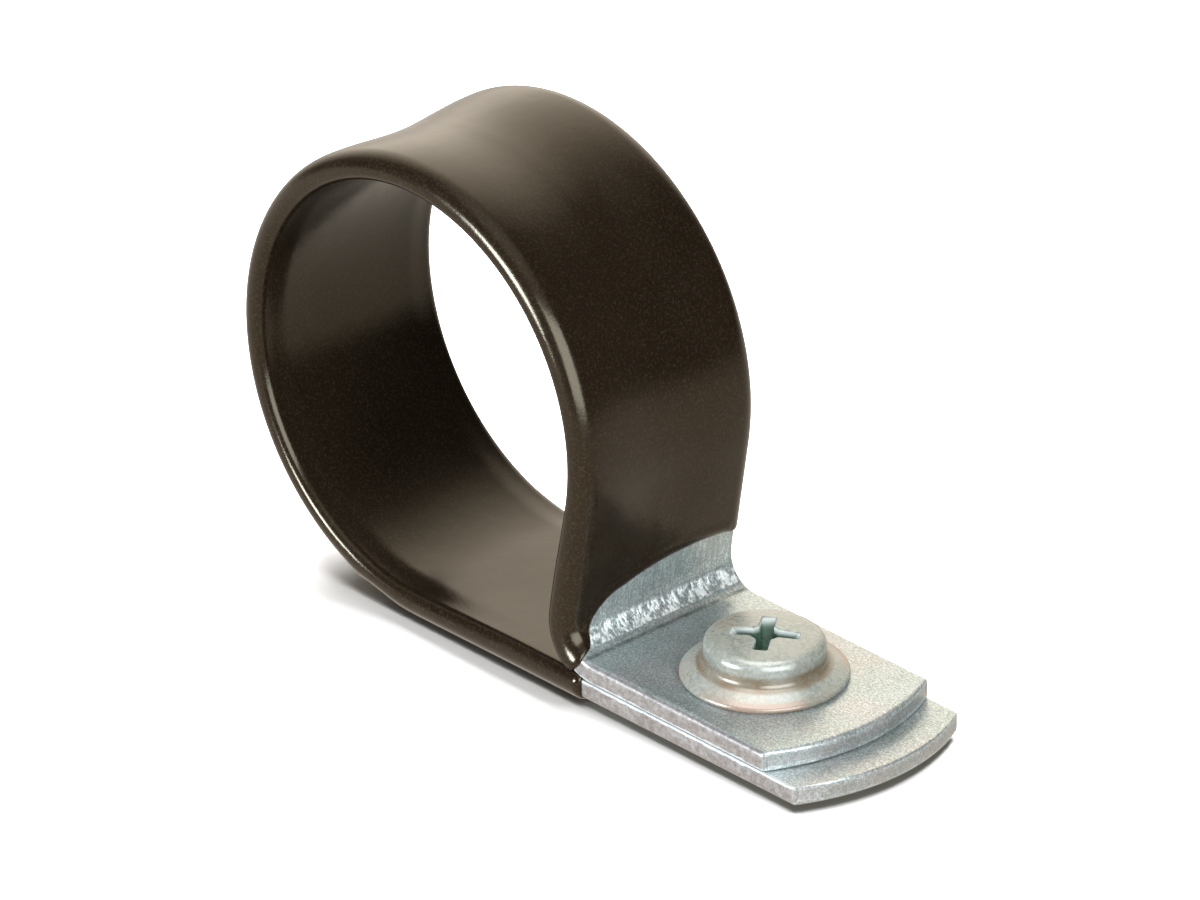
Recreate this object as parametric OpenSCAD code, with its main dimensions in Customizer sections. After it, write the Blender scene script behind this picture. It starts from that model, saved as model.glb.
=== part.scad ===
// P clip: a steel strap rolled into a loop, its loop dipped in vinyl,
// and a washer-head screw through both legs of its tab.
// Origin: where the screw's axis meets the bare underside of the lower leg.
// +X runs along the tab to its free end, +Y across the strap, +Z up.

/* [Strap] */
// Width of the steel strip
strap_w = 16; // [13:0.5:22]
// Thickness of the steel strip
steel_t = 1.5; // [1.2:0.1:2]
// Radius rolled on the edges of the strip's outer face
edge_r = 0.45; // [0.2:0.05:0.6]
// Bevel on the edges of the strip's inner face
edge_bevel = 0.15; // [0.05:0.05:0.3]

/* [Loop] */
// Diameter of the cable that the coated loop holds
cable_d = 31; // [22:0.5:50]
// How far the upright leans back over the loop, in steps of 4.35 degrees
lean_steps = 2; // [1:1:3]

/* [Coating] */
// Thickness of the vinyl over the steel
coat_t = 0.45; // [0.35:0.05:0.7]
// Radius of the coating's outer lips
lip_r = 0.9; // [0.6:0.05:1]
// Radius of the coating's inner lips, where the cable goes in
mouth_r = 0.75; // [0.5:0.05:0.8]
// Distance from the start of the bend back to the coating's end on the lower leg
dip_back = 0.8; // [0.4:0.1:4]
// Height of the coating's end on the upright, midway across the strap
dip_z = 7.2; // [6.6:0.1:9]
// Slope of that end across the strap, in degrees
dip_slope = 4; // [0:0.5:6]
// Width of the run of vinyl that hangs below that end on the near edge
run_w = 1.4; // [1:0.1:2]
// Radius where the run flares out into the coating's end
run_r = 2.2; // [1:0.1:2.5]
// Height of the run's lower end above the upper leg
run_rise = 0.2; // [0.1:0.1:1]

/* [Tab] */
// Radius of the outer face in the bend between the upright and the upper leg
bend_r = 2.25; // [1.5:0.25:3]
// Distance from the screw's axis to the start of that bend
bend_reach = 9.3; // [8.5:0.1:14]
// Distance from the screw's axis to the tip of the upper leg
upper_reach = 10.3; // [9:0.1:16]
// Distance from the screw's axis to the tip of the lower leg
lower_reach = 13.3; // [10:0.1:20]
// Radius of the rounded end of each leg
end_r = 17; // [12:0.5:30]
// Gap between the two legs
leg_gap = 0.06; // [0.02:0.02:0.3]
// Radial clearance of the hole in each leg round the screw's thread
hole_clearance = 0.25; // [0.15:0.05:0.5]

/* [Screw] */
// Outside diameter of the thread
thread_d = 5; // [4:0.5:6]
// Radial depth of the thread, by which the plain neck under the head is thinner
thread_depth = 0.26; // [0.2:0.02:0.4]
// Length of the screw under its head
screw_l = 12; // [8:1:25]
// Length of the chamfer at the screw's tip
tip_l = 0.6; // [0.4:0.1:1]
// Diameter of the washer that is one with the head
washer_d = 12; // [11.5:0.1:14]
// Thickness of the washer at its rim
washer_t = 0.5; // [0.4:0.05:0.8]
// Height to which the washer's top slopes up to meet the dome
washer_rise = 1.25; // [1:0.05:1.5]
// Diameter of the domed head on the washer
dome_d = 8.7; // [7.5:0.1:9.5]
// Radius of the dome's shoulder
shoulder_r = 0.8; // [0.4:0.05:0.9]
// Radius of the fillet where the dome meets the washer
dome_fillet = 0.3; // [0.2:0.05:0.5]
// Height of the whole head
head_h = 3.35; // [3:0.05:3.8]
// Height of its crown above the centre of the dome's shoulder
crown_h = 1.05; // [1:0.05:1.3]
// Width of the cross recess from tip to tip, at the top of the head
cross_w = 5.2; // [4:0.1:5.6]
// Width of the cross recess from tip to tip, at its floor
cross_floor = 2; // [1:0.1:2.6]
// Thickness of the wings of the cross recess
wing_t = 1.05; // [0.8:0.05:1.3]
// Depth of the cross recess
cross_depth = 2.2; // [1.5:0.1:2.4]
// Turn of the cross recess about the screw's axis, in degrees
cross_turn = 38; // [0:1:89]

/* [Hidden] */
$fn = 96;
// Overrun that lets a cut pass cleanly through a face
eps = 0.5;
// One step of the upright's lean. Its sine and cosine are exactly 0.07584 and
// 0.99712, so the seams between level and leaning stretches meet without slivers
lean_step = atan2(237, 3116);
lean = lean_steps * lean_step;
// Radii of the strip's faces round the loop
steel_ri = cable_d / 2 + coat_t;
steel_ro = steel_ri + steel_t;
// Height of the top of the upper leg
tab_z = 2 * steel_t + leg_gap;
// Centre of the bend
bend_x = -bend_reach;
bend_z = tab_z + bend_r;
// Centre of the loop: its steel rests on the plane of the lower leg's
// underside, and the upright is tangent to both the loop and the bend
loop_z = steel_ro;
loop_x = bend_x - (bend_r + steel_ro + (bend_z - loop_z) * sin(lean)) / cos(lean);
// Length of the upright between its two tangent points
upright_l = (loop_z - bend_z - (steel_ro + bend_r) * sin(lean)) / cos(lean);
// Outline of the coated strip's section
coat_w = strap_w + 2 * coat_t;
coat_full = steel_t + 2 * coat_t;
// Centre of the dome's shoulder in the head's half outline, and the radius of
// the crown that is tangent to it
shoulder_x = dome_d / 2 - shoulder_r;
shoulder_z = head_h - crown_h;
crown_r = (pow(shoulder_x, 2) + pow(crown_h, 2) - pow(shoulder_r, 2)) / (2 * (crown_h - shoulder_r));

// Section of the bare strip: x from the inner face (0) to the outer face,
// y across the strip
module strip_section() {
    half = strap_w / 2;
    difference() {
        union() {
            translate([0, edge_r - half]) square([steel_t, strap_w - 2 * edge_r]);
            translate([0, -half]) square([steel_t - edge_r, strap_w]);
            for (side = [-1, 1])
                translate([steel_t - edge_r, side * (half - edge_r)]) circle(edge_r);
        }
        for (side = [-1, 1])
            translate([0, side * half]) rotate(45) square(edge_bevel * sqrt(2), center = true);
    }
}

// Section of the coated strip, from the same zero
module coated_section() {
    half = coat_w / 2;
    inner = -coat_t;
    outer = steel_t + coat_t;
    translate([inner, mouth_r - half]) square([coat_full / 2, coat_w - 2 * mouth_r]);
    translate([inner + coat_full / 2, lip_r - half]) square([coat_full / 2, coat_w - 2 * lip_r]);
    translate([inner + mouth_r, -half]) square([coat_full - mouth_r - lip_r, coat_w]);
    for (side = [-1, 1]) {
        translate([outer - lip_r, side * (half - lip_r)]) circle(lip_r);
        translate([inner + mouth_r, side * (half - mouth_r)]) circle(mouth_r);
    }
}

// The strip's path is laid out from the loop's centre. The loop and the lower
// leg are level, the upright and the bend follow the upright's lean, and the
// upper leg is turned level again at the bend's centre
module lean_by(steps) {
    if (steps == 0) children();
    else rotate([0, sign(steps) * lean_step, 0]) lean_by(steps - sign(steps)) children();
}

module at_loop() {
    translate([loop_x, 0, loop_z]) children();
}

module at_bend() {
    at_loop() lean_by(lean_steps) translate([steel_ro + bend_r, 0, -upright_l]) children();
}

// A block that has one face on the plane x = 0 and lies beyond it, or before it
// where side is -1
module half_space(side, far) {
    translate([side > 0 ? 0 : -far, -far, -far]) cube([far, 2 * far, 2 * far]);
}

// Each stretch sweeps the section that it is given. The loop and the bend are
// cut from whole rings, square to the straight stretches that they meet
module sweep_loop() {
    far = 2 * steel_ro;
    difference() {
        at_loop() rotate([90, 0, 0]) rotate_extrude() translate([steel_ri, 0]) children();
        intersection() {
            at_loop() half_space(1, far);
            at_loop() lean_by(lean_steps) rotate([0, 90, 0]) half_space(1, far);
        }
    }
}

module sweep_upright() {
    at_loop() lean_by(lean_steps) translate([steel_ri, 0, -upright_l]) linear_extrude(upright_l) children();
}

module sweep_bend() {
    far = 2 * (bend_r + steel_t);
    intersection() {
        at_bend() rotate([90, 0, 0])
            rotate_extrude() translate([bend_r + steel_t, 0]) mirror([1, 0]) children();
        at_bend() rotate([0, 90, 0]) half_space(1, far);
        at_bend() lean_by(-lean_steps) half_space(-1, far);
    }
}

module sweep_upper_leg(reach) {
    at_bend() lean_by(-lean_steps) translate([0, 0, -bend_r]) rotate([0, -90, 0])
        mirror([0, 0, 1]) translate([-steel_t, 0, 0])
            linear_extrude(reach + bend_reach) children();
}

// The lower leg goes from the bottom of the loop to x = reach, as the upper leg
// goes there from the bend
module sweep_lower_leg(reach) {
    at_loop() translate([0, 0, -steel_ri]) rotate([0, 90, 0])
        linear_extrude(reach - loop_x) children();
}

// What is cut off a leg to round its end
module end_cut(reach, z) {
    difference() {
        translate([reach - end_r, -strap_w / 2 - eps, z - eps])
            cube([end_r + 2 * eps, strap_w + 2 * eps, steel_t + 2 * eps]);
        translate([reach - end_r, 0, z - 2 * eps]) cylinder(h = steel_t + 4 * eps, r = end_r);
    }
}

module bare_strap() {
    sweep_loop() strip_section();
    sweep_upright() strip_section();
    sweep_bend() strip_section();
    difference() {
        sweep_upper_leg(upper_reach + eps) strip_section();
        end_cut(upper_reach, steel_t + leg_gap);
    }
    difference() {
        sweep_lower_leg(lower_reach + eps) strip_section();
        end_cut(lower_reach, 0);
    }
}

module steel_strap() {
    color("lightsteelblue") difference() {
        bare_strap();
        translate([0, 0, -eps]) cylinder(h = tab_z + 2 * eps, d = thread_d + 2 * hole_clearance);
    }
}

// Outline, across the strap and up, of the space that the coating reaches on
// the upright: above a sloped edge, with a run hanging down on the near side
// that flares out under the edge
module dip_outline() {
    function edge_z(y) = dip_z + y * tan(dip_slope);
    far = coat_w / 2 + eps;
    top = loop_z;
    run_y = run_w - coat_w / 2;
    run_z = tab_z + run_rise;
    flare_y = run_y + run_r;
    flare_z = edge_z(flare_y) - run_r;
    polygon([[-far, edge_z(-far)], [far, edge_z(far)], [far, top], [-far, top]]);
    translate([-far, run_z]) square([run_y + far, top - run_z]);
    difference() {
        translate([run_y - eps, flare_z]) square([run_r + eps, run_r]);
        translate([flare_y, flare_z]) circle(run_r);
    }
}

module vinyl_jacket() {
    color("saddlebrown") difference() {
        union() {
            sweep_loop() coated_section();
            sweep_lower_leg(-bend_reach - dip_back) coated_section();
            intersection() {
                union() {
                    sweep_upright() coated_section();
                    sweep_bend() coated_section();
                }
                at_loop() translate([0, 0, -loop_z]) rotate([90, 0, 90])
                    linear_extrude(2 * steel_ro) dip_outline();
            }
        }
        bare_strap();
    }
}

// Half outline of the head, turned about the screw's axis
module head_profile() {
    dome_r = dome_d / 2;
    rim_x = (washer_d - washer_t) / 2;
    fillet_x = dome_r + dome_fillet;
    fillet_z = washer_t + (washer_rise - washer_t) * (rim_x - fillet_x) / (rim_x - dome_r);
    polygon([[0, 0], [rim_x, 0], [rim_x, washer_t], [dome_r, washer_rise], [0, washer_rise]]);
    translate([rim_x, washer_t / 2]) circle(washer_t / 2);
    square([dome_r, shoulder_z]);
    translate([shoulder_x, shoulder_z]) circle(shoulder_r);
    translate([0, head_h - crown_r]) intersection() {
        circle(crown_r);
        polygon([[0, 0], 2 * [shoulder_x, crown_r - crown_h], [0, 2 * crown_r]]);
    }
    difference() {
        translate([dome_r - eps, fillet_z]) square([dome_fillet + eps, dome_fillet]);
        translate([fillet_x, fillet_z + dome_fillet]) circle(dome_fillet);
    }
}

module cross_recess() {
    intersection() {
        for (turn = [0, 90])
            rotate(cross_turn + turn)
                translate([-cross_w, -wing_t / 2, 0]) cube([2 * cross_w, wing_t, cross_depth + eps]);
        cylinder(h = cross_depth, d1 = cross_floor, d2 = cross_w);
    }
}

module fixing_screw() {
    thread_r = thread_d / 2;
    thread_l = screw_l - tab_z;
    color("silver") {
        difference() {
            translate([0, 0, tab_z]) rotate_extrude() intersection() {
                head_profile();
                square(washer_d);
            }
            translate([0, 0, tab_z + head_h - cross_depth]) cross_recess();
        }
        translate([0, 0, -thread_depth]) cylinder(h = tab_z + 2 * thread_depth, r = thread_r - thread_depth);
        translate([0, 0, tip_l - thread_l]) cylinder(h = thread_l - tip_l, r = thread_r);
        translate([0, 0, -thread_l]) cylinder(h = tip_l, r1 = thread_r - tip_l, r2 = thread_r);
    }
}

steel_strap();
vinyl_jacket();
fixing_screw();
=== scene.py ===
"""The p clip's looks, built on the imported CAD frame.

Shapes are worked out in millimetres and turned into metres when a mesh is made. Sizes that the frame's boxes
don't give are named here, with the part's own values.
"""
import math

import bmesh
import bpy
import numpy as np
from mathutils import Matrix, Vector


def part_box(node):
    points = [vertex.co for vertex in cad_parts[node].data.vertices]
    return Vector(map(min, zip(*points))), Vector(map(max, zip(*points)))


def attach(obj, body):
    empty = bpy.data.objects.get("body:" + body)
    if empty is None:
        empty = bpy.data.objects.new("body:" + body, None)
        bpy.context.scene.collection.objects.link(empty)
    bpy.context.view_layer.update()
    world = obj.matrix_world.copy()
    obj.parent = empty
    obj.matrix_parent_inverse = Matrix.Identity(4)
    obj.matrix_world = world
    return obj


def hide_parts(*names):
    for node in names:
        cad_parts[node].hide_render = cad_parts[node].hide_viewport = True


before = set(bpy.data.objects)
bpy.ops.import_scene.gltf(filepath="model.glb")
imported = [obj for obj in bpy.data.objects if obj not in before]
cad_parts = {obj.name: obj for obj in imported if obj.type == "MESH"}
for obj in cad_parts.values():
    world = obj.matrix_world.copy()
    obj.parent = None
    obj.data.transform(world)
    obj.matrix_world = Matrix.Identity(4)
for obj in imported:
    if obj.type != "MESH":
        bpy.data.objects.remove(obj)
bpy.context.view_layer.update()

MM = 0.001


def box_mm(node):
    low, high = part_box(node)
    return np.array(low) / MM, np.array(high) / MM


strap_lo, strap_hi = box_mm("steel_strap")
jacket_lo, jacket_hi = box_mm("vinyl_jacket")

# The strip's section: half its thickness, the rolled edges of its outer face and the bevels of its inner one
STEEL_HALF = 0.75
EDGE_R = 0.45
EDGE_BEVEL = 0.12
# How much deeper the middle of the strip lies than its edges where it is hollowed most
HOLLOW = 0.35

# The upright's lean, the outer face's radius and start in the bend, and the tab's height, end and holes
LEAN = 2 * math.atan2(237, 3116)
BEND_IN = 2.25
BEND_X = -9.3
TAB_Z = 3.06
UPPER_TIP = 10.3
END_R = 17.0
HOLE_R = 2.75

# Half the thickness of the coated strip, and where the coating ends on the lower leg
COAT_N = 1.2
COAT_END_X = -10.1

STRAP_HALF = strap_hi[1]
COAT_HALF = jacket_hi[1]
LOOP_OUT = (strap_hi[2] - strap_lo[2]) / 2
LOOP_R = LOOP_OUT - STEEL_HALF
LOOP_X = strap_lo[0] + LOOP_OUT
LOOP_Z = strap_lo[2] + LOOP_OUT
LOWER_TIP = strap_hi[0]
FLOOR_Z = jacket_lo[2]
BEND_Z = TAB_Z + BEND_IN
BEND_R = BEND_IN + STEEL_HALF

# ------------------------------------------------------------------ the strip's path
# Distances along the strip's middle line, from the lower leg's tip to where each stretch starts
UPRIGHT = (LOOP_Z - BEND_Z - (LOOP_OUT + BEND_IN) * math.sin(LEAN)) / math.cos(LEAN)
S_LOOP = LOWER_TIP - LOOP_X
S_UPRIGHT = S_LOOP + LOOP_R * (1.5 * math.pi + LEAN)
S_BEND = S_UPRIGHT + UPRIGHT
S_UPPER = S_BEND + BEND_R * (0.5 * math.pi + LEAN)
S_END = S_UPPER + UPPER_TIP - BEND_X


def path(s):
    """The strip's middle line at s: x, z and the outer face's normal."""
    s = np.asarray(s, float)
    turn = -0.5 * math.pi - (s - S_LOOP) / LOOP_R
    down = s - S_UPRIGHT
    curl = math.pi - LEAN + (s - S_BEND) / BEND_R
    cl, sl = math.cos(LEAN), math.sin(LEAN)
    stretches = [s < S_LOOP, s < S_UPRIGHT, s < S_BEND, s < S_UPPER]
    one = np.ones_like(s)
    x = np.select(stretches, [LOWER_TIP - s, LOOP_X + LOOP_R * np.cos(turn),
                              LOOP_X + LOOP_R * cl - down * sl, BEND_X + BEND_R * np.cos(curl)],
                  BEND_X + s - S_UPPER)
    z = np.select(stretches, [STEEL_HALF * one, LOOP_Z + LOOP_R * np.sin(turn),
                              LOOP_Z - LOOP_R * sl - down * cl, BEND_Z + BEND_R * np.sin(curl)],
                  TAB_Z - STEEL_HALF)
    nx = np.select(stretches, [0 * one, np.cos(turn), cl * one, -np.cos(curl)], 0.0)
    nz = np.select(stretches, [-one, np.sin(turn), -sl * one, -np.sin(curl)], 1.0)
    return x, z, nx, nz


def place(s, n, y):
    """The point at s that lies n outward of the middle line and y across the strip."""
    x, z, nx, nz = path(s)
    return np.stack([x + n * nx, y + 0 * x, z + n * nz], axis=-1)


def reach_of(z):
    """Distance along the strip where its outer steel face comes down to height z, on the upright or bend."""
    z = np.asarray(z, float)
    top = BEND_Z + BEND_IN * math.sin(LEAN)
    on_bend = np.arcsin(np.clip((z - BEND_Z) / BEND_IN, -1, 1))
    return np.where(z > top, S_BEND - (z - top) / math.cos(LEAN), S_BEND + BEND_R * (LEAN - on_bend))


def smooth(t):
    t = np.clip(t, 0, 1)
    return t * t * (3 - 2 * t)


def saddle(s):
    """How far the strip is hollowed at s: 0 on the legs and in the bend, 1 round the loop."""
    before_loop, fade_in = 12, 14
    before_bend, fade_out = 1.5, 8
    return smooth((s - S_LOOP + before_loop) / fade_in) * smooth((S_BEND - before_bend - s) / fade_out)


def hollow(y):
    """The hollow's form across the strip: 0 on a narrow floor in the middle, 1 towards the edges."""
    floor_half, rise = 0.4, 6.4
    return smooth((np.abs(y) - floor_half) / rise)


def sag(y, s):
    """How far the hollow moves the steel outward."""
    return (HOLLOW * hollow(y) - HOLLOW / 2) * saddle(s)


def kink(s):
    """The slight corner in the coating where the loop runs into the lower leg: a ridge and a dip before it."""
    height = 0.16
    ridge_at, ridge_width = 20, 2.4
    dip_at, dip_width = 12, 5
    turn = np.degrees((s - S_LOOP) / LOOP_R)
    ridge = math.exp(-((turn - ridge_at) / ridge_width) ** 2)
    dip = math.exp(-((turn - dip_at) / dip_width) ** 2)
    return height * ridge - height * dip


# ------------------------------------------------------------------ mesh helpers
def circle(radius, z, turn):
    """Points round the screw's axis, one for each angle in turn."""
    return np.stack([radius * np.cos(turn), radius * np.sin(turn), z + 0 * turn], axis=-1)


def grid_faces(rows, columns, offset=0):
    """Faces between closed rings of points that follow each other."""
    faces = []
    for i in range(rows - 1):
        for j in range(columns):
            k = (j + 1) % columns
            faces.append((offset + i * columns + j, offset + i * columns + k,
                          offset + (i + 1) * columns + k, offset + (i + 1) * columns + j))
    return faces


def shade(obj, sharp):
    """Shades obj smooth, apart from edges that turn by more than the angle sharp."""
    bm = bmesh.new()
    bm.from_mesh(obj.data)
    for f in bm.faces:
        f.smooth = True
    for e in bm.edges:
        e.smooth = len(e.link_faces) != 2 or e.calc_face_angle(0) < sharp
    bm.to_mesh(obj.data)
    bm.free()


def make_object(name, verts, faces, sharp=math.radians(32), attributes=None):
    mesh = bpy.data.meshes.new(name)
    mesh.from_pydata((np.asarray(verts, float) * MM).tolist(), [], faces)
    for key, values in (attributes or {}).items():
        layer = mesh.attributes.new(key, "FLOAT", "POINT")
        layer.data.foreach_set("value", np.asarray(values, np.float32))
    bm = bmesh.new()
    bm.from_mesh(mesh)
    bmesh.ops.recalc_face_normals(bm, faces=bm.faces)
    bm.to_mesh(mesh)
    bm.free()
    obj = bpy.data.objects.new(name, mesh)
    bpy.context.scene.collection.objects.link(obj)
    shade(obj, sharp)
    return obj


def cut(obj, cutter):
    """Takes the cutter out of obj and removes the cutter."""
    mod = obj.modifiers.new("cut", "BOOLEAN")
    mod.operation = "DIFFERENCE"
    mod.solver = "EXACT"
    mod.object = cutter
    graph = bpy.context.evaluated_depsgraph_get()
    made = bpy.data.meshes.new_from_object(obj.evaluated_get(graph))
    obj.modifiers.clear()
    obj.data = made
    bpy.data.objects.remove(cutter)


def outline(n_in, n_out, half, r_in, r_out, across, corner, side):
    """Closed outline of the strip's section as (n, y): the outer face from the near edge to the far one, the
    far edge, the inner face back, and the near edge. across, corner and side count the steps on a face, on a
    rounded corner and on an edge."""
    quarter = np.radians(np.linspace(0, 90, corner + 1)[1:])
    pts = [(n_out, y) for y in np.linspace(r_out - half, half - r_out, across + 1)]
    pts += [(n_out - r_out + r_out * math.cos(t), half - r_out + r_out * math.sin(t)) for t in quarter]
    pts += [(n, half) for n in np.linspace(n_out - r_out, n_in + r_in, side + 1)[1:]]
    pts += [(n_in + r_in - r_in * math.sin(t), half - r_in + r_in * math.cos(t)) for t in quarter]
    pts += [(n_in, y) for y in np.linspace(half - r_in, r_in - half, across + 1)[1:]]
    pts += [(n_in + r_in - r_in * math.cos(t), r_in - half - r_in * math.sin(t)) for t in quarter]
    pts += [(n, -half) for n in np.linspace(n_in + r_in, n_out - r_out, side + 1)[1:]]
    pts += [(n_out - r_out + r_out * math.sin(t), r_out - half - r_out * math.cos(t)) for t in quarter[:-1]]
    return np.array(pts)


def ladder(columns, middle, reach, offset):
    """Closes one end of the strip with faces that run from its outer face to its inner one, so that a curved
    end stays smooth. middle is the outline's point halfway down its near edge, and reach counts the points
    from there to its corner."""
    half = columns // 2
    up = [offset + (middle + k) % columns for k in range(half + 1)]
    down = [offset + (middle - k) % columns for k in range(half + 1)]
    near = up[reach:0:-1] + down[:reach + 1]
    far = up[half - reach:] + down[half - 1:half - reach - 1:-1]
    return [near, far] + [(up[k], up[k + 1], down[k + 1], down[k]) for k in range(reach, half - reach)]


# ------------------------------------------------------------------ steel strap
def strap_rows():
    """Where the strap's rings lie along it: close together on its rolled ends and in the bend."""
    bare_end, gap = 22.0, 1.4
    roll = EDGE_R * (1 - np.cos(np.radians(np.linspace(0, 90, 8))))
    rows = list(roll)
    for stretch in (np.linspace(EDGE_R, bare_end, 24), np.arange(bare_end, S_UPRIGHT, gap),
                    np.linspace(S_UPRIGHT, S_BEND, 14), np.linspace(S_BEND, S_UPPER, 44),
                    np.linspace(S_UPPER, S_END - EDGE_R, 22), S_END - roll[::-1]):
        rows += list(stretch[1:])
    return rows


def drill():
    """What both legs' holes are cut with."""
    seg = 96
    turn = np.linspace(0, 2 * math.pi, seg, endpoint=False)
    ends = [circle(HOLE_R, z, turn) for z in (-1, TAB_Z + 1)]
    caps = [tuple(range(seg)), tuple(range(seg, 2 * seg))]
    return make_object("drill", np.concatenate(ends), grid_faces(2, seg) + caps)


def build_strap():
    across, corner, side = 96, 6, 4
    # Radius of the tips' corners seen from above, and the lengths over which the legs' curved ends fade out
    plan_r = 0.4
    lower_fade, upper_fade = 20, 12
    ring = outline(-STEEL_HALF, STEEL_HALF, STRAP_HALF, EDGE_BEVEL, EDGE_R, across, corner, side)
    n0, y0 = ring.T
    rows = strap_rows()
    # How far each point of the ring lies back from the tip
    back = END_R - np.sqrt(END_R ** 2 - y0 ** 2)
    verts, along, depth, to_end = [], [], [], []
    for s in rows:
        d = min(s, S_END - s)
        s_at = s + back * smooth(1 - s / lower_fade) - back * smooth(1 - (S_END - s) / upper_fade)
        n, y = n0.copy(), y0.copy()
        if d < EDGE_R:
            n = np.minimum(n, STEEL_HALF - EDGE_R + math.sqrt(EDGE_R ** 2 - (EDGE_R - d) ** 2))
        if d < EDGE_BEVEL:
            n = np.maximum(n, -STEEL_HALF + EDGE_BEVEL - d)
        if d < plan_r:
            y = y * (1 - (plan_r - math.sqrt(plan_r ** 2 - (plan_r - d) ** 2)) / STRAP_HALF)
        n = n + sag(y, s)
        verts.append(place(s_at, n, y))
        along.append(s_at)
        depth.append(n)
        to_end.append(d + 0 * y)
    columns = len(ring)
    middle, reach = columns - corner - side // 2, side // 2 + 1
    faces = grid_faces(len(rows), columns)
    for row in (0, len(rows) - 1):
        faces += ladder(columns, middle, reach, row * columns)
    obj = make_object("strap", np.concatenate(verts), faces,
                      attributes={"along": np.concatenate(along), "depth": np.concatenate(depth),
                                  "to_end": np.concatenate(to_end)})
    cut(obj, drill())
    shade(obj, math.radians(32))
    return obj


# ------------------------------------------------------------------ vinyl jacket
# Height of the coating's end on the upright's outer face, against the place across the strap: it hangs down
# the near edge as a run
DIP = [(-8.45, 3.2), (-7.9, 3.2), (-7.3, 3.5), (-6.85, 4.35), (-6.3, 5.1), (-5.3, 6.0), (-2.8, 6.85),
       (0.0, 7.42), (3.0, 7.68), (5.6, 7.66), (7.4, 7.4), (8.45, 6.9)]


def curve(points, x):
    """Smooth curve through given points, with the slopes of a Catmull-Rom spline."""
    px, py = np.array(points, float).T
    slope = np.gradient(py, px)
    i = np.clip(np.searchsorted(px, x) - 1, 0, len(px) - 2)
    h = px[i + 1] - px[i]
    t = np.clip((x - px[i]) / h, 0, 1)
    return ((2 * t ** 3 - 3 * t ** 2 + 1) * py[i] + (t ** 3 - 2 * t ** 2 + t) * h * slope[i]
            + (3 * t ** 2 - 2 * t ** 3) * py[i + 1] + (t ** 3 - t ** 2) * h * slope[i + 1])


def coating_ends(n, y):
    """Where the coating stops along the strip, for each point of the steel's outline: on the lower leg, and
    on the upright. There it ends at its own height on the inner face, apart from the run."""
    above_bend, run_z, run_from, run_fade = 1.4, 3.3, 6.2, 1.6
    leg_end = LOWER_TIP - COAT_END_X + 0.1 * np.sin(0.9 * y + 1) + 0.05 * np.sin(2.3 * y)
    outer_end = reach_of(curve(DIP, y))
    inner_end = S_BEND - above_bend + 0.35 * np.sin(0.35 * y + 0.6)
    run = smooth((-y - run_from) / run_fade)
    inner_end = inner_end + (reach_of(run_z) - inner_end) * run
    outward = np.clip((n / STEEL_HALF + 1) / 2, 0, 1)
    return leg_end, inner_end + (outer_end - inner_end) * outward


def coating_rows(leg_end, up_end):
    """The coating's rings. Near its ends they follow the end's line and lie closer together."""
    low_join, up_join = leg_end.max() + 3, S_BEND - 6.5
    # Shares of those two stretches where the rings start or stop lying closer, and the gap between the rest
    low_part, up_part, gap = 0.3, 0.72, 0.7
    rolled = 1 - np.cos(np.radians(np.linspace(0, 90, 15)))
    low_t = np.concatenate([rolled * low_part, np.linspace(low_part, 1, 8)[1:]])
    unrolled = 1 - np.sin(np.radians(np.linspace(0, 90, 26)[1:]))
    up_t = np.concatenate([np.linspace(0, up_part, 30), 1 - (1 - up_part) * unrolled])
    rows = [leg_end + (low_join - leg_end) * t for t in low_t]
    rows += [s + 0 * leg_end for s in np.arange(low_join, up_join, gap)[1:]]
    rows += [up_join + (up_end - up_join) * t for t in up_t]
    return rows


def coat_surface(n, y, s):
    """The coated outline's n at s. Where the strip is hollowed, the coating is thinner and its inner lips
    flare."""
    flare_height, flare_from, flare_width = 0.18, 5.7, 2.1
    k, q = saddle(s), hollow(y)
    outer_n = 1.10 - 0.30 * k + q * (0.10 + 0.30 * k) - 0.004
    flare = flare_height * k * smooth((np.abs(y) - flare_from) / flare_width)
    inner_n = -1.12 - 0.06 * k - 0.08 * q * (1 - k) + 0.10 * k * q + flare
    outward = (n + COAT_N) / (2 * COAT_N)
    outer_move = outer_n - COAT_N + kink(float(np.mean(s)))
    return n + outer_move * outward + (inner_n + COAT_N) * (1 - outward)


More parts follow.
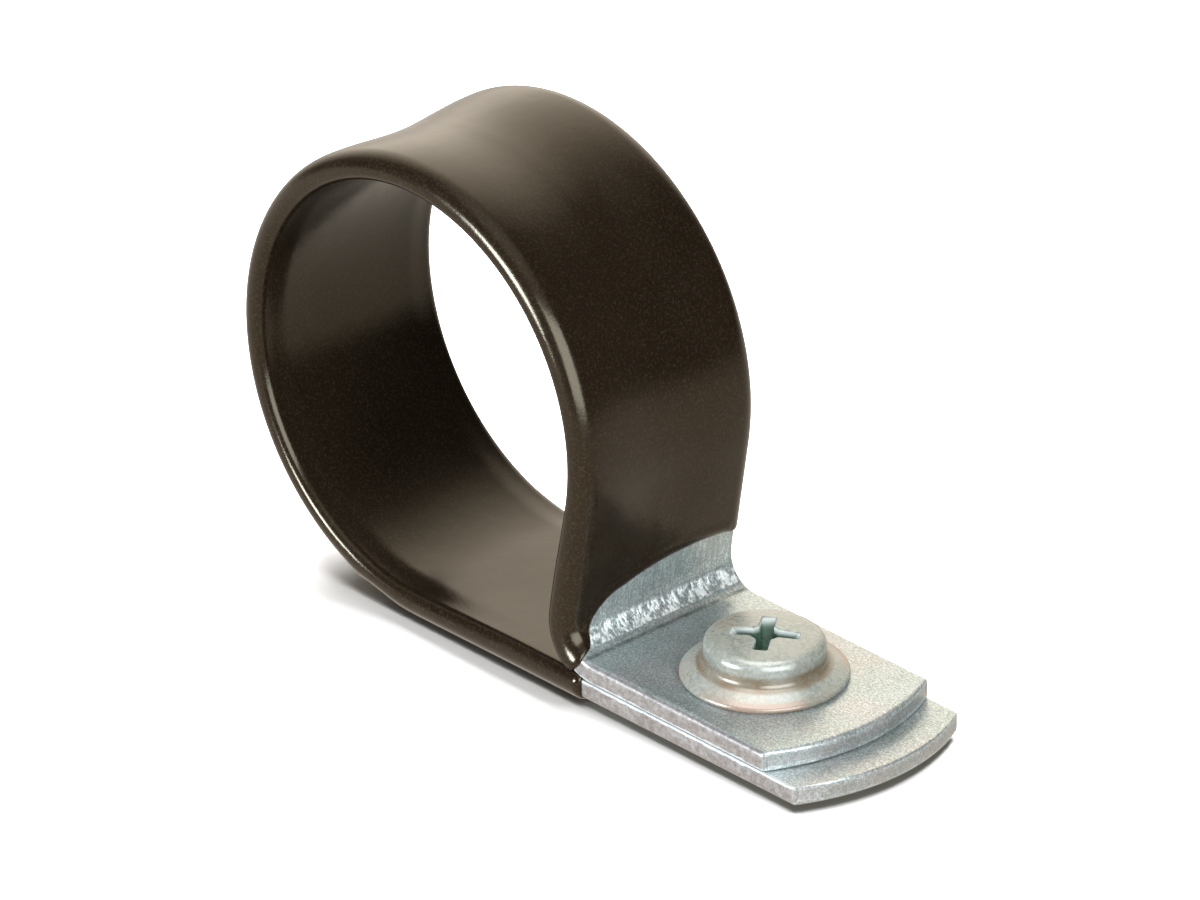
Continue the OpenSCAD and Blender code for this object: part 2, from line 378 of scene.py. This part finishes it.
def build_jacket():
    across, corner, side = 76, 14, 2
    inner_lip, outer_lip, end_lip = 0.8, 1.5, 0.55
    bead_height, bead_at, bead_width, bead_edge, bead_least = 0.07, 0.75, 0.35, 7.5, 0.2
    # The coating reaches a little into the steel, so that no light passes between them
    sink_n, sink_y = 0.97, 0.997
    coat = outline(-COAT_N, COAT_N, COAT_HALF, inner_lip, outer_lip, across, corner, side)
    bare = outline(-STEEL_HALF, STEEL_HALF, STRAP_HALF, EDGE_BEVEL, EDGE_R, across, corner, side)
    cn, cy = coat.T
    bn, by = bare.T
    columns = len(coat)
    step = np.hypot(*(np.roll(bare, -1, axis=0) - bare).T)
    around = np.concatenate([[0], np.cumsum(step)[:-1]])
    perimeter = step.sum()

    def end_distance(s, end):
        """Distance from each point of a ring to the nearest point of an end's line, over the steel."""
        ds = s[:, None] - end[None, :]
        da = np.abs(around[:, None] - around[None, :])
        da = np.minimum(da, perimeter - da)
        return np.sqrt((ds ** 2 + da ** 2).min(axis=1))

    leg_end, up_end = coating_ends(bn, by)
    rows = coating_rows(leg_end, up_end)
    outer, inner = [], []
    for s in rows:
        d = np.minimum(end_distance(s, up_end), end_distance(s, leg_end))
        # It swells from nothing at its end in a round lip, with a low bead behind that on the two broad faces
        full = np.sqrt(np.clip(1 - (1 - np.clip(d / end_lip, 0, 1)) ** 2, 0, 1))
        n = coat_surface(cn, cy, s)
        steel_n = bn + sag(by, s)
        beaded = (np.abs(by) < bead_edge) & (np.abs(n - steel_n) > bead_least)
        bead = bead_height * np.exp(-((d - bead_at) / bead_width) ** 2) * np.sign(cn) * beaded
        outer.append(place(s, steel_n + (n - steel_n) * full + bead, by + (cy - by) * full))
        inner.append(place(s, bn * sink_n + sag(by, s), by * sink_y))
    count = len(rows)
    total = count * columns
    faces = grid_faces(count, columns) + [f[::-1] for f in grid_faces(count, columns, total)]
    for row in (0, count - 1):
        for j in range(columns):
            k = (j + 1) % columns
            a, b = row * columns + j, row * columns + k
            faces.append((a, b, b + total, a + total))
    return make_object("jacket", np.concatenate(outer + inner), faces, math.radians(70))


# ------------------------------------------------------------------ screw
SCREW_L = 12.0
PITCH = 0.8
THREAD_R = 2.5
ROOT_R = 2.02
NECK_R = 2.24
TIP_CHAMFER = 0.6
FLANGE_R = 6.0
HEAD_H = 3.35
CROSS_TURN = math.radians(38)


def head_outline():
    """From the crown down to the washer's rim and in to the neck, as (r, z) above the tab."""
    crown_h, dome_r, shoulder_r, foot_r = 1.05, 4.35, 0.8, 0.55
    washer_t, washer_rise = 0.5, 1.25
    shoulder_x, shoulder_z = dome_r - shoulder_r, HEAD_H - crown_h
    crown_r = (shoulder_x ** 2 + crown_h ** 2 - shoulder_r ** 2) / (2 * (crown_h - shoulder_r))
    crown_z = HEAD_H - crown_r
    lean = math.atan2(shoulder_x, crown_r - crown_h)
    pts = [(crown_r * math.sin(t), crown_z + crown_r * math.cos(t)) for t in np.linspace(0, lean, 30)]
    pts += [(shoulder_x + shoulder_r * math.sin(t), shoulder_z + shoulder_r * math.cos(t))
            for t in np.linspace(lean, math.pi / 2, 16)[1:]]
    # The fillet at the dome's foot touches the sloping top of the washer
    rim_r = washer_t / 2
    rim_x = FLANGE_R - rim_r
    slope = math.atan((washer_rise - washer_t) / (rim_x - dome_r))
    foot = math.radians(270) - slope
    centre_x = dome_r + foot_r
    touch_x, touch_dz = centre_x + foot_r * math.cos(foot), foot_r * math.sin(foot)
    centre_z = washer_t + math.tan(slope) * (rim_x - touch_x) - touch_dz
    pts += [(centre_x + foot_r * math.cos(t), centre_z + foot_r * math.sin(t))
            for t in np.linspace(math.pi, foot, 14)]
    pts += [(rim_x + rim_r * math.cos(t), rim_r + rim_r * math.sin(t))
            for t in np.linspace(math.pi / 2 - slope, -math.pi / 2, 18)]
    return pts + [(rim_x - 0.4, 0.0), (NECK_R + 0.3, 0.0)]


def thread_radius(z, turn):
    """The thread's radius at height z, for each angle in turn. It runs out into the neck at the top and is
    chamfered at the tip."""
    # Half the flat crest and the width of a flank, as shares of the pitch
    crest, flank = 0.0625, 0.3125
    thread_start, run_out = 0.5, 0.6
    climb = np.mod(z / PITCH - turn / (2 * math.pi), 1.0)
    tooth = np.clip((np.abs(climb - 0.5) - crest) / flank, 0, 1)
    r = THREAD_R - (THREAD_R - ROOT_R) * tooth
    r = NECK_R + (r - NECK_R) * smooth((thread_start - z) / run_out)
    return np.minimum(r, THREAD_R - TIP_CHAMFER + np.maximum(0, z - (TAB_Z - SCREW_L)))


def cross_cutter(top):
    """The recess as one solid: four wings that taper down to a small floor, round a square core."""
    bevel = 0.12
    # Depth below the crown, and there the wings' reach, half their thickness, and where they leave the core
    levels = [(-0.5, 2.96, 0.76, 1.20), (0.02, 2.60, 0.62, 1.02), (0.16, 2.48, 0.525, 0.88),
              (1.2, 1.74, 0.47, 0.72), (2.2, 1.0, 0.40, 0.54)]
    rings = []
    for deep, reach, half, core in levels:
        ring = []
        for k in range(4):
            a = CROSS_TURN + k * math.pi / 2
            c, s = math.cos(a), math.sin(a)
            for u, v in ((core, -half), (reach - bevel, -half), (reach, -half + bevel), (reach, half - bevel),
                         (reach - bevel, half), (core, half)):
                ring.append((u * c - v * s, u * s + v * c, top - deep))
        rings.append(ring)
    count = len(rings[0])
    faces = grid_faces(len(rings), count)
    faces.append(tuple(range(count)))
    faces.append(tuple((len(rings) - 1) * count + j for j in range(count)))
    return make_object("cross", sum(rings, []), faces, math.radians(30))


def build_screw():
    count = 160
    # The neck is drawn from a little below the head to the thread, and the tip's face is a little smaller than
    # its chamfer
    neck_drop, thread_top, thread_step, tip_inset = 0.25, 0.6, 0.05, 0.02
    turn = np.linspace(0, 2 * math.pi, count, endpoint=False)
    head = head_outline()
    tip, top = TAB_Z - SCREW_L, TAB_Z + head[0][1]
    rings = [circle(r, TAB_Z + z, turn) for r, z in head[1:]]
    rings += [circle(NECK_R, z, turn) for z in (TAB_Z - neck_drop, thread_top)]
    rings += [circle(thread_radius(z, turn), z, turn) for z in np.arange(thread_top, tip, -thread_step)[1:]]
    rings.append(circle(THREAD_R - TIP_CHAMFER - tip_inset, tip, turn))
    verts = np.concatenate(rings + [[(0, 0, top)]])
    apex = len(verts) - 1
    faces = grid_faces(len(rings), count)
    faces += [(apex, (j + 1) % count, j) for j in range(count)]
    faces.append(tuple(apex - count + j for j in range(count)))
    obj = make_object("screw", verts, faces, math.radians(40))
    cut(obj, cross_cutter(top))
    shade(obj, math.radians(30))
    return obj


strap = build_strap()
jacket = build_jacket()
screw = build_screw()

for piece, node, name in ((strap, "steel_strap", "plated_strap"), (jacket, "vinyl_jacket", "vinyl"),
                          (screw, "fixing_screw", "plated_screw")):
    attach(piece, "root")
    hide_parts(node)


# ------------------------------------------------------------------ materials
def add_stops(ramp, stops):
    """Gives a colour ramp its stops, each as (position, colour)."""
    elements = ramp.elements
    while len(elements) < len(stops):
        elements.new(0.5)
    for element, (at, color) in zip(elements, stops):
        element.position = at
        element.color = (*color, 1)


class Nodes:
    """Short names for building one material's nodes."""

    def __init__(self, name):
        self.material = bpy.data.materials.new(name)
        self.material.use_nodes = True
        self.tree = self.material.node_tree
        self.bsdf = self.tree.nodes["Principled BSDF"]
        self.where = self.new("ShaderNodeTexCoord").outputs["Object"]

    def new(self, kind, **sockets):
        node = self.tree.nodes.new(kind)
        for key, value in sockets.items():
            node.inputs[key.replace("_", " ")].default_value = value
        return node

    def link(self, a, b):
        self.tree.links.new(a, b)

    def noise(self, scale, detail=3.0, rough=0.5, distortion=0.0):
        """Noise whose grain is about 1/scale of a millimetre across."""
        node = self.new("ShaderNodeTexNoise", Scale=scale / MM, Detail=detail, Roughness=rough,
                        Distortion=distortion)
        self.link(self.where, node.inputs["Vector"])
        return node.outputs["Fac"]

    def streaks(self, parts, detail=3.0, rough=0.6):
        """Noise over coordinates in millimetres, each with its own scale."""
        node = self.new("ShaderNodeCombineXYZ")
        for socket, (value, scale) in zip(node.inputs, parts):
            self.link(self.times(value, scale), socket)
        noise = self.new("ShaderNodeTexNoise", Scale=1.0, Detail=detail, Roughness=rough)
        self.link(node.outputs[0], noise.inputs["Vector"])
        return noise.outputs["Fac"]

    def ramp(self, fac, stops):
        node = self.new("ShaderNodeValToRGB")
        add_stops(node.color_ramp, stops)
        self.link(fac, node.inputs["Fac"])
        return node.outputs["Color"]

    def map_range(self, value, start, end, low, high):
        node = self.new("ShaderNodeMapRange", From_Min=start, From_Max=end, To_Min=low, To_Max=high)
        self.link(value, node.inputs["Value"])
        return node

    def spread(self, fac, low, high, a=0.3, b=0.7):
        """Stretches what lies between a and b to run from low to high."""
        return self.map_range(fac, a, b, low, high).outputs["Result"]

    def step(self, value, start, end):
        """Rises smoothly from 0 at start to 1 at end; end may be below start."""
        low, high = (0.0, 1.0) if start < end else (1.0, 0.0)
        node = self.map_range(value, min(start, end), max(start, end), low, high)
        node.interpolation_type = "SMOOTHSTEP"
        return node.outputs["Result"]

    def band(self, value, start, full, full_until, end):
        """1 from full to full_until, and 0 before start and after end."""
        return self.times(self.step(value, start, full), self.step(value, end, full_until))

    def math(self, kind, a, b=0.0):
        node = self.new("ShaderNodeMath")
        node.operation = kind
        for socket, value in zip(node.inputs, (a, b)):
            if isinstance(value, (int, float)):
                socket.default_value = value
            else:
                self.link(value, socket)
        return node.outputs[0]

    def times(self, a, b):
        return self.math("MULTIPLY", a, b)

    def mix(self, fac, a, b):
        node = self.new("ShaderNodeMix")
        node.data_type = "RGBA"
        for socket, value in ((node.inputs["Factor"], fac), (node.inputs[6], a), (node.inputs[7], b)):
            if isinstance(value, tuple):
                socket.default_value = (*value, 1)
            else:
                self.link(value, socket)
        return node.outputs[2]

    def places(self):
        """The surface's x, y and z in millimetres."""
        node = self.new("ShaderNodeSeparateXYZ")
        self.link(self.where, node.inputs[0])
        return [self.times(output, 1 / MM) for output in node.outputs]

    def attribute(self, name):
        node = self.new("ShaderNodeAttribute")
        node.attribute_name = name
        return node.outputs["Fac"]

    def bump(self, height, distance, after=None):
        """A bump of this distance in millimetres, on top of the one before it."""
        node = self.new("ShaderNodeBump", Strength=1.0, Distance=distance * MM)
        self.link(height, node.inputs["Height"])
        if after is not None:
            self.link(after, node.inputs["Normal"])
        return node.outputs["Normal"]


def vinyl_material():
    """Dip-coated vinyl: glossy dark brown with a fine grain and a faint orange peel."""
    m = Nodes("vinyl")
    speck = m.noise(5.0, 3, 0.75)
    color = m.ramp(m.noise(0.12, 2), [(0.3, (0.0072, 0.0045, 0.0025)), (0.7, (0.0095, 0.0061, 0.0035))])
    color = m.mix(m.spread(speck, 0.0, 1.0, 0.50, 0.72), color, (0.022, 0.0155, 0.0095))
    color = m.mix(m.spread(m.noise(2.6, 2, 0.6), 0.0, 0.4, 0.54, 0.7), color, (0.013, 0.006, 0.0045))
    m.link(color, m.bsdf.inputs["Base Color"])
    m.link(m.spread(m.noise(0.35, 3), 0.16, 0.23), m.bsdf.inputs["Roughness"])
    m.bsdf.inputs["IOR"].default_value = 1.35
    m.bsdf.inputs["Specular Tint"].default_value = (1.0, 0.88, 0.66, 1)
    peel = m.bump(m.noise(0.8, 2, 0.4), 0.012)
    m.link(m.bump(speck, 0.006, after=peel), m.bsdf.inputs["Normal"])
    return m.material


def zinc(name, light, dark, tint, grain_scale, metallic, rough, fleck):
    """Zinc plating: cloudy patches, a crystalline grain and a thin milky film. Returns its nodes, its colour
    and its grain as a height."""
    m = Nodes(name)
    patch = m.noise(0.40, 3, 0.55, distortion=0.4)
    fine = m.noise(grain_scale, 4, 0.75)
    pits = m.noise(grain_scale * 1.3, 3, 0.7)
    color = m.ramp(patch, [(0.36, dark), (0.64, light)])
    color = m.mix(m.spread(m.noise(0.24, 3), 0.0, 0.6, 0.48, 0.66), color, tint)
    color = m.mix(m.spread(fine, 0.0, fleck, 0.46, 0.62), color, (0.72, 0.75, 0.73))
    color = m.mix(m.spread(pits, fleck, 0.0, 0.38, 0.52), color, (0.08, 0.10, 0.09))
    m.bsdf.inputs["Metallic"].default_value = metallic
    m.link(m.spread(m.math("ADD", patch, fine), rough, rough + 0.12, 0.8, 1.25), m.bsdf.inputs["Roughness"])
    return m, color, fine


def upright_marks(m, color, y, along, depth):
    """Drawn streaks on the upright, the plating crazed where the strip was bent tightest with painted glints
    on its bright flecks, and painted shade as a dark line in the corner under it. Returns the colour, and the
    streaks and the crazing as heights."""
    drawn = m.streaks(((y, 8.0), (along, 0.45), (depth, 0.5)))
    upright = m.band(along, S_UPRIGHT - 3, S_UPRIGHT, S_BEND + 1.2, S_BEND + 1.9)
    color = m.mix(m.times(upright, m.spread(drawn, 0.0, 0.7, 0.40, 0.60)), color, (0.19, 0.22, 0.205))
    crazing_and_glints = m.streaks(((y, 2.6), (along, 1.0), (depth, 0.5)), 4.0, 0.7)
    band = m.band(along, S_BEND + 1.35, S_BEND + 1.8, S_BEND + 3.3, S_BEND + 3.55)
    # Painted highlight: the crazing's bright flecks are painted light, as glints
    color = m.mix(m.times(band, m.spread(crazing_and_glints, 0.0, 1.0, 0.47, 0.56)), color, (0.84, 0.86, 0.84))
    color = m.mix(m.times(band, m.spread(crazing_and_glints, 0.55, 0.0, 0.38, 0.44)), color, (0.16, 0.18, 0.17))
    # Painted shade: a dark line in the corner under the crazed band
    crease_shade = m.band(along, S_BEND + 4.0, S_BEND + 4.3, S_BEND + 4.4, S_BEND + 4.75)
    color = m.mix(m.times(crease_shade, m.spread(m.noise(0.9, 3), 0.25, 0.85)), color, (0.07, 0.08, 0.075))
    return color, m.times(drawn, upright), m.times(crazing_and_glints, band)


def sheared_edges(m, color, places, depth, to_end):
    """Smooth bright metal next to the inner face, torn and browner metal next to the outer one."""
    x, y, z = places
    sides = m.step(m.math("ABSOLUTE", y), STRAP_HALF - 0.28, STRAP_HALF - 0.14)
    ends = m.step(to_end, 0.30, 0.16)
    ragged = m.math("ADD", depth, m.spread(m.streaks(((x, 1.2), (y, 1.2), (z, 0.2))), -0.08, 0.08))
    torn = m.times(m.math("MAXIMUM", sides, ends), m.step(ragged, -0.62, -0.50))
    rims = m.times(ends, m.step(m.math("ABSOLUTE", ragged), 0.25, 0.50))
    burnished = m.times(sides, m.step(ragged, -0.54, -0.63))
    torn_color = m.ramp(m.noise(2.8, 4, 0.75), [(0.36, (0.15, 0.118, 0.105)), (0.64, (0.27, 0.26, 0.255))])
    fainter = m.math("MAXIMUM", m.times(ends, 0.4), rims)
    color = m.mix(m.times(torn, m.math("SUBTRACT", 0.9, fainter)), color, torn_color)
    return m.mix(m.times(burnished, 0.8), color, (0.50, 0.51, 0.52))


def strap_material():
    m, color, fine = zinc("plated_strap", light=(0.315, 0.355, 0.36), dark=(0.24, 0.28, 0.272),
                          tint=(0.325, 0.30, 0.30), grain_scale=5.5, metallic=0.58, rough=0.28, fleck=0.5)
    places = m.places()
    along, depth, to_end = (m.attribute(name) for name in ("along", "depth", "to_end"))
    color, streaks, crazing = upright_marks(m, color, places[1], along, depth)
    color = sheared_edges(m, color, places, depth, to_end)
    m.link(color, m.bsdf.inputs["Base Color"])
    normal = m.bump(m.noise(0.7, 2), 0.008)
    for height, distance in ((fine, 0.008), (streaks, 0.02), (crazing, 0.10)):
        normal = m.bump(height, distance, after=normal)
    m.link(normal, m.bsdf.inputs["Normal"])
    return m.material


def screw_material():
    m, color, fine = zinc("plated_screw", light=(0.168, 0.170, 0.150), dark=(0.138, 0.146, 0.124),
                          tint=(0.165, 0.136, 0.104), grain_scale=3.0, metallic=0.17, rough=0.24, fleck=0.08)
    x, y, z = m.places()
    square = m.math("ADD", m.times(x, x), m.times(y, y))
    radius = m.math("POWER", square, 0.5)
    # The foot of the dome is painted darker and browner, painted shade in its fillet with a brown passivate
    # tint, and
    #     brown passivate lies along part of the washer's rim
    foot = m.times(m.step(radius, 5.0, 4.7), m.step(z, TAB_Z + 2.15, TAB_Z + 1.75))
    color = m.mix(m.times(foot, m.spread(m.noise(0.5, 3), 0.5, 0.9)), color, (0.092, 0.062, 0.034))
    rim = m.times(m.step(radius, 5.35, 5.7), m.spread(m.noise(0.16, 2), 0.0, 0.8, 0.45, 0.62))
    color = m.mix(rim, color, (0.17, 0.115, 0.085))
    # The recess's upper walls are painted bright, pressed-bright metal with a painted highlight, and its depth
    # is
    #     painted dark and green, painted shade in a greener film. Depth counts from just under the crown,
    #     which falls away with the square of the radius
    margin, fall = 0.08, 0.0192
    under = m.math("SUBTRACT", m.math("SUBTRACT", TAB_Z + HEAD_H - margin, m.times(square, fall)), z)
    pressed_and_highlit = m.times(m.step(radius, 2.95, 2.8), m.step(under, 0.0, 0.05))
    color = m.mix(pressed_and_highlit, color, (0.34, 0.37, 0.35))
    # Painted shade: the recess is painted darker and greener deeper down
    deep = m.times(m.step(radius, 2.75, 1.9), m.step(under, 0.08, 0.55))
    color = m.mix(deep, color, (0.035, 0.07, 0.048))
    m.link(color, m.bsdf.inputs["Base Color"])
    coarse = m.bump(m.noise(0.5, 2), 0.006)
    m.link(m.bump(fine, 0.002, after=coarse), m.bsdf.inputs["Normal"])
    return m.material


def floor_material():
    """Plain pale paper."""
    m = Nodes("paper")
    m.bsdf.inputs["Base Color"].default_value = (0.45, 0.45, 0.45, 1)
    m.bsdf.inputs["Roughness"].default_value = 0.9
    m.bsdf.inputs["Specular IOR Level"].default_value = 0.1
    return m.material


def use(obj, material):
    obj.data.materials.clear()
    obj.data.materials.append(material)


use(jacket, vinyl_material())
use(strap, strap_material())
use(screw, screw_material())

# ------------------------------------------------------------------ floor, light and camera
# What the lamps and the camera look at
TARGET = Vector((-18.72, 1.80, 12.85)) * MM


def build_floor():
    half = 3.0
    corners = [(-half, -half, 0), (half, -half, 0), (half, half, 0), (-half, half, 0)]
    mesh = bpy.data.meshes.new("floor")
    mesh.from_pydata(corners, [], [(0, 1, 2, 3)])
    obj = bpy.data.objects.new("floor", mesh)
    obj.location.z = FLOOR_Z * MM
    bpy.context.scene.collection.objects.link(obj)
    use(obj, floor_material())
    # The clip sees the studio's own ground instead, which is dimmer than the lit floor right under it
    obj.visible_glossy = obj.visible_diffuse = False
    return obj


def direction(azimuth, elevation):
    """Unit vector out from the clip, with angles in degrees. Azimuth 0 is along -Y, and 90 along +X."""
    a, e = math.radians(azimuth), math.radians(elevation)
    return Vector((math.sin(a) * math.cos(e), -math.cos(a) * math.cos(e), math.sin(e)))


def aim(obj, azimuth, elevation, distance):
    """Places a lamp or a camera so many metres from the target, facing it."""
    back = direction(azimuth, elevation)
    obj.location = TARGET + back * distance
    obj.rotation_euler = back.to_track_quat("Z", "Y").to_euler()
    bpy.context.scene.collection.objects.link(obj)


def softbox(name, azimuth, elevation, distance, width, height, power, color, lit):
    """A soft lamp that lights only the objects in lit; everything still casts its shadow."""
    data = bpy.data.lights.new(name, "AREA")
    data.shape = "RECTANGLE"
    data.size, data.size_y = width, height
    data.energy = power
    data.color = color
    lamp = bpy.data.objects.new(name, data)
    aim(lamp, azimuth, elevation, distance)
    group = bpy.data.collections.new(name + "_on")
    for obj in lit:
        group.objects.link(obj)
    lamp.light_linking.receiver_collection = group


def studio():
    """Walls that glow softly behind the clip on its left and straight above it and are dark elsewhere, over a
    pale ground."""
    strength = 4
    ground = (1.0, 0.90, 0.77)
    # Each glow's middle, its tint, and its brightness against the cosine of the angle from that middle
    glows = ((230, 26, (1.0, 0.89, 0.74), ((0.40, 0.02), (0.50, 0.06), (0.66, 0.22), (0.78, 1.1),
                                           (0.88, 2.0), (0.96, 2.7), (1.0, 2.8))),
             (47, 82, (1.0, 0.98, 0.94), ((0.79, 0.0), (0.87, 0.5), (0.93, 1.1), (1.0, 1.3))))
    world = bpy.data.worlds.new("studio")
    world.use_nodes = True
    tree = world.node_tree
    ray = tree.nodes.new("ShaderNodeTexCoord").outputs["Generated"]
    sky = tree.nodes.new("ShaderNodeVectorMath")
    sky.operation = "ADD"
    for socket, (azimuth, elevation, tint, levels) in zip(sky.inputs, glows):
        dot = tree.nodes.new("ShaderNodeVectorMath")
        dot.operation = "DOT_PRODUCT"
        dot.inputs[1].default_value = direction(azimuth, elevation)
        tree.links.new(ray, dot.inputs[0])
        ramp = tree.nodes.new("ShaderNodeValToRGB")
        ramp.color_ramp.interpolation = "EASE"
        add_stops(ramp.color_ramp, [(at, [level / strength * c for c in tint]) for at, level in levels])
        tree.links.new(dot.outputs["Value"], ramp.inputs["Fac"])
        tree.links.new(ramp.outputs["Color"], socket)
    height = tree.nodes.new("ShaderNodeSeparateXYZ")
    tree.links.new(ray, height.inputs[0])
    above = tree.nodes.new("ShaderNodeMapRange")
    above.inputs["From Min"].default_value = -0.20
    above.inputs["From Max"].default_value = -0.03
    tree.links.new(height.outputs["Z"], above.inputs["Value"])
    blend = tree.nodes.new("ShaderNodeMix")
    blend.data_type = "RGBA"
    blend.inputs[6].default_value = (*(c / strength for c in ground), 1)
    tree.links.new(above.outputs["Result"], blend.inputs["Factor"])
    tree.links.new(sky.outputs["Vector"], blend.inputs[7])
    tree.links.new(blend.outputs[2], tree.nodes["Background"].inputs["Color"])
    tree.nodes["Background"].inputs["Strength"].default_value = strength
    return world


def build_camera():
    data = bpy.data.cameras.new("camera")
    data.sensor_width = 36
    data.lens = 520.365
    obj = bpy.data.objects.new("camera", data)
    aim(obj, azimuth=46.86, elevation=27.87, distance=1.2186)
    return obj


floor = build_floor()

clip = (strap, jacket, screw)
softbox("right_window", 70, 22, 0.6, 0.50, 0.46, 8.5, (0.89, 0.96, 1.0), clip)
softbox("front_strip", -14, 6, 0.6, 0.22, 0.18, 10.0, (0.84, 0.92, 1.0), clip)
softbox("over_screw", 47, 85, 0.6, 0.48, 0.40, 4.4, (1.0, 1.0, 1.0), (screw,))
softbox("overhead", 226, 66, 0.9, 0.85, 0.85, 72.0, (1.0, 1.0, 1.0), (floor,))

bpy.context.scene.world = studio()
bpy.context.scene.camera = build_camera()
bpy.context.scene.view_settings.view_transform = "Standard"
